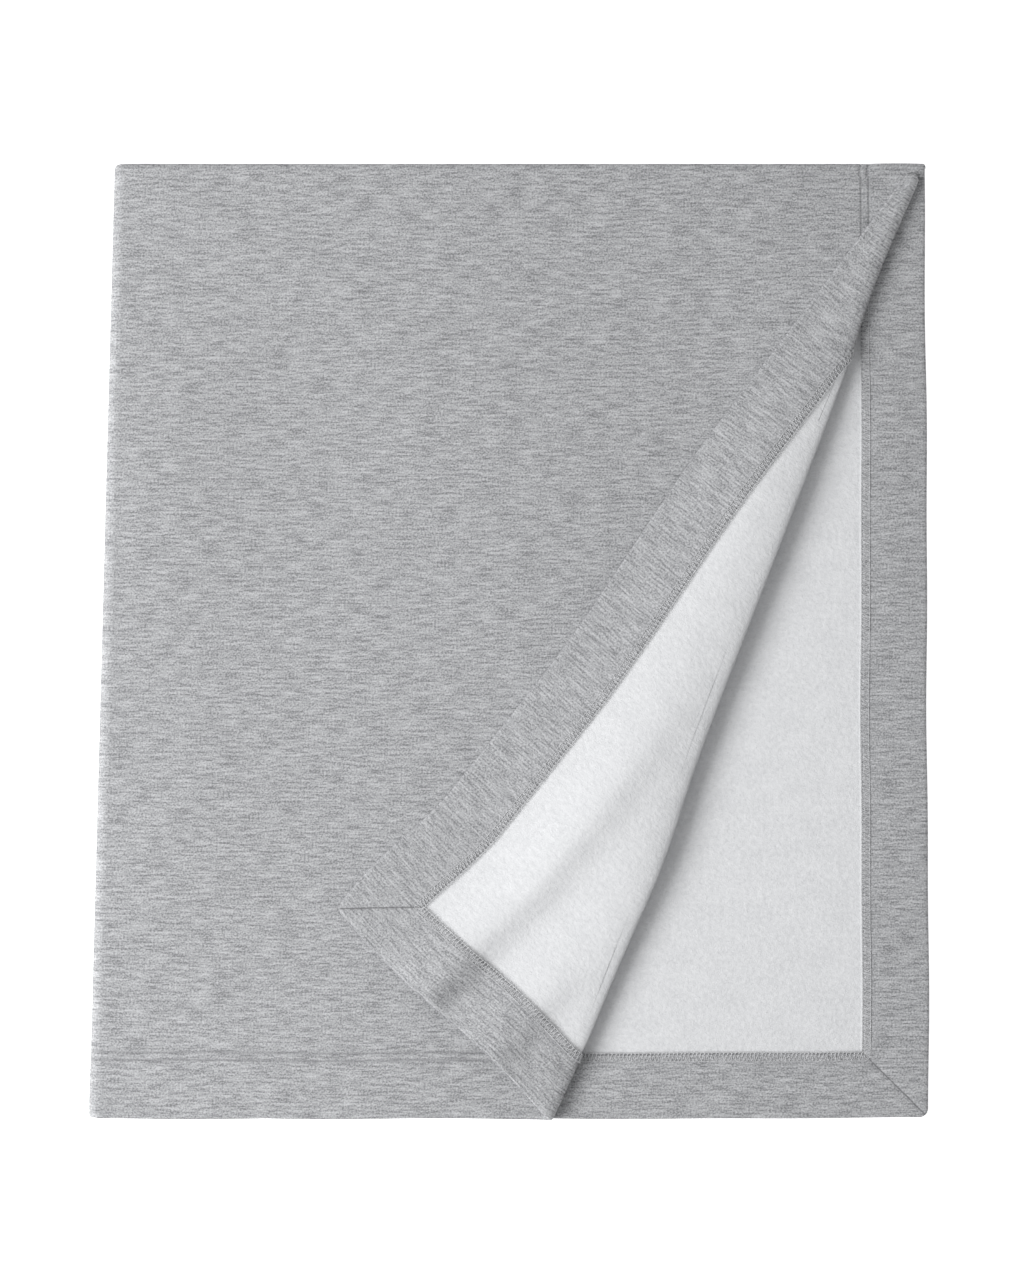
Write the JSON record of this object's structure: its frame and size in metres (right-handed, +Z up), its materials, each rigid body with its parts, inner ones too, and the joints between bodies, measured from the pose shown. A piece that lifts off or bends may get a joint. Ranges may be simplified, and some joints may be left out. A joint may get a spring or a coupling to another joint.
{
  "type": "folded throw blanket",
  "caption": "Fleece-backed knit throw with turned, coverstitched hems, folded in quarters, with one corner of the top layer turned back over a soft diagonal crease.",
  "frame": {"origin": "under the middle of the folded throw, on the surface that it lies on", "axes": "+Z up through the layers, +Y towards the folded back edge, +X towards the open side edge that carries the side hems"},
  "size_m": [0.6559, 0.7464, 0.0383],
  "materials": {
    "heather_fleece_cloth": "heather grey knit face with a brushed, pale grey fleece back",
    "sewing_thread": "matte grey sewing thread",
    "seam_thread": "matte grey seam, drawn tight"
  },
  "bodies": {
    "lower_pair": {"layer_3_front_hem": "heather_fleece_cloth", "layer_3_front_looper_threads": "sewing_thread", "layer_3_front_needle_threads": "sewing_thread", "layer_3_mitre_seam": "seam_thread", "layer_3_panel": "heather_fleece_cloth", "layer_3_side_hem": "heather_fleece_cloth", "layer_3_side_looper_threads": "sewing_thread", "layer_3_side_needle_threads": "sewing_thread", "layer_4_front_hem": "heather_fleece_cloth", "layer_4_front_looper_threads": "sewing_thread", "layer_4_front_needle_threads": "sewing_thread", "layer_4_mitre_seam": "seam_thread", "layer_4_panel": "heather_fleece_cloth", "layer_4_side_hem": "heather_fleece_cloth", "layer_4_side_looper_threads": "sewing_thread", "layer_4_side_needle_threads": "sewing_thread", "left_fold_inner": "heather_fleece_cloth", "left_fold_inner_hem": "heather_fleece_cloth", "left_fold_outer": "heather_fleece_cloth", "left_fold_outer_hem": "heather_fleece_cloth", "lower_back_fold": "heather_fleece_cloth"},
    "upper_pair": {"layer_1_front_hem": "heather_fleece_cloth", "layer_1_front_looper_threads": "sewing_thread", "layer_1_front_needle_threads": "sewing_thread", "layer_1_panel": "heather_fleece_cloth", "layer_2_front_hem": "heather_fleece_cloth", "layer_2_front_looper_threads": "sewing_thread", "layer_2_front_needle_threads": "sewing_thread", "layer_2_mitre_seam": "seam_thread", "layer_2_panel": "heather_fleece_cloth", "layer_2_side_hem": "heather_fleece_cloth", "layer_2_side_looper_threads": "sewing_thread", "layer_2_side_needle_threads": "sewing_thread", "upper_back_fold": "heather_fleece_cloth", "crease_fold": "heather_fleece_cloth"},
    "corner_flap": {"flap_front_hem": "heather_fleece_cloth", "flap_front_looper_threads": "sewing_thread", "flap_front_needle_threads": "sewing_thread", "flap_mitre_seam": "seam_thread", "flap_panel": "heather_fleece_cloth", "flap_side_hem": "heather_fleece_cloth", "flap_side_looper_threads": "sewing_thread", "flap_side_needle_threads": "sewing_thread"}
  },
  "joints": [
    {"name": "left_fold_opening", "type": "hinge", "parent": "lower_pair", "child": "upper_pair", "pos_m": [-0.3189, -0.37274, 0.0091], "axis": [-0.0268, -0.9996, 0], "range_deg": [0, 174], "deforming": ["left_fold_inner", "left_fold_inner_hem", "left_fold_outer", "left_fold_outer_hem"]},
    {"name": "corner_crease_opening", "type": "hinge", "parent": "upper_pair", "child": "corner_flap", "pos_m": [0.31557, 0.37613, 0.0261], "axis": [0.3595, 0.9332, 0], "range_deg": [0, 184], "deforming": ["crease_fold"]}
  ]
}
